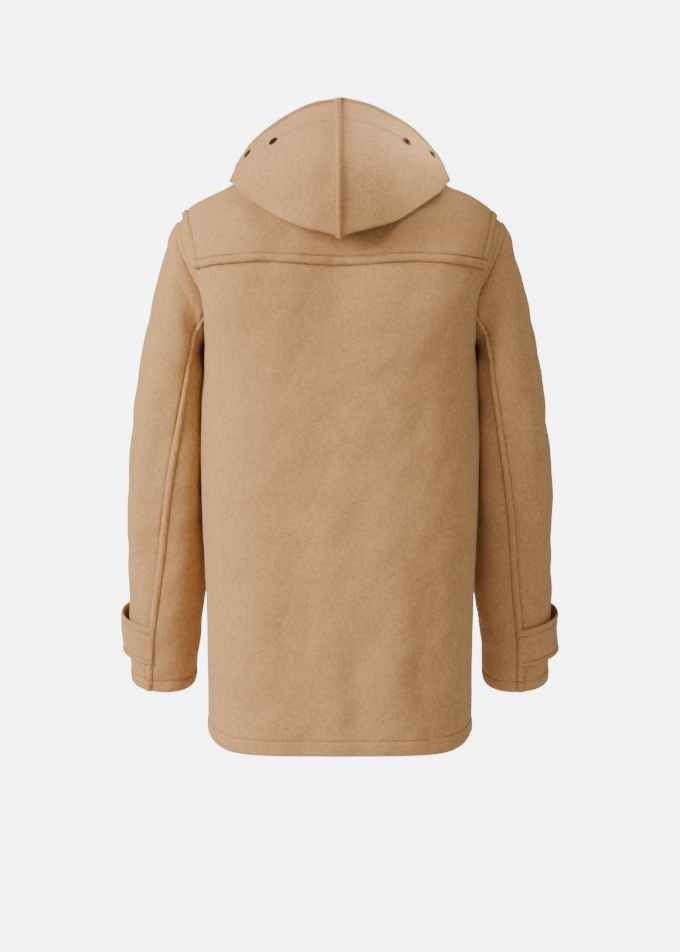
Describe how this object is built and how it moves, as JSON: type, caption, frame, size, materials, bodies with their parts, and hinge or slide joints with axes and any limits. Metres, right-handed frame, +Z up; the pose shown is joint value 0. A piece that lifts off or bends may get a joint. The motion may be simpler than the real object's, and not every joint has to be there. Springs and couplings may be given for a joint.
{
  "type": "duffle coat",
  "caption": "Hooded duffle coat of thick woollen cloth in its worn form: shoulder yoke, hood laid back with brass eyelets, toggle and loop front, cuff straps.",
  "frame": {"origin": "the middle of the neck opening, at the height of the neck seam at the back, where the wearer's neck and shoulders hold the coat", "axes": "+Z up along the wearer's spine, -Y out of the front of the coat, +Y out of the back, +X towards the wearer's left sleeve"},
  "size_m": [0.647, 0.3667, 0.9077],
  "materials": {
    "wool_cloth": "matte, short milled nap",
    "horn": "satin, mottled",
    "brass": "dark antique",
    "leather": "semi-matte",
    "cord": "waxed"
  },
  "bodies": {
    "root": {"back": "wool_cloth", "front_left": "wool_cloth", "front_right": "wool_cloth", "yoke": "wool_cloth", "sleeve_top_left": "wool_cloth", "sleeve_top_right": "wool_cloth", "sleeve_under_left": "wool_cloth", "sleeve_under_right": "wool_cloth", "cuff_strap_left": "wool_cloth", "cuff_strap_right": "wool_cloth", "hood_left": "wool_cloth", "hood_right": "wool_cloth", "hood_seam_strip": "wool_cloth", "cuff_button_left": "horn", "cuff_button_right": "horn", "eyelet_left_inner": "brass", "eyelet_left_outer": "brass", "eyelet_right_inner": "brass", "eyelet_right_outer": "brass", "patch_left_1": "leather", "patch_left_2": "leather", "patch_left_3": "leather", "patch_left_4": "leather", "patch_right_1": "leather", "patch_right_2": "leather", "patch_right_3": "leather", "patch_right_4": "leather", "loop_1": "cord", "loop_2": "cord", "loop_3": "cord", "loop_4": "cord", "toggle_cord_1": "cord", "toggle_cord_2": "cord", "toggle_cord_3": "cord", "toggle_cord_4": "cord", "toggle_1": "horn", "toggle_2": "horn", "toggle_3": "horn", "toggle_4": "horn"}
  },
  "joints": []
}
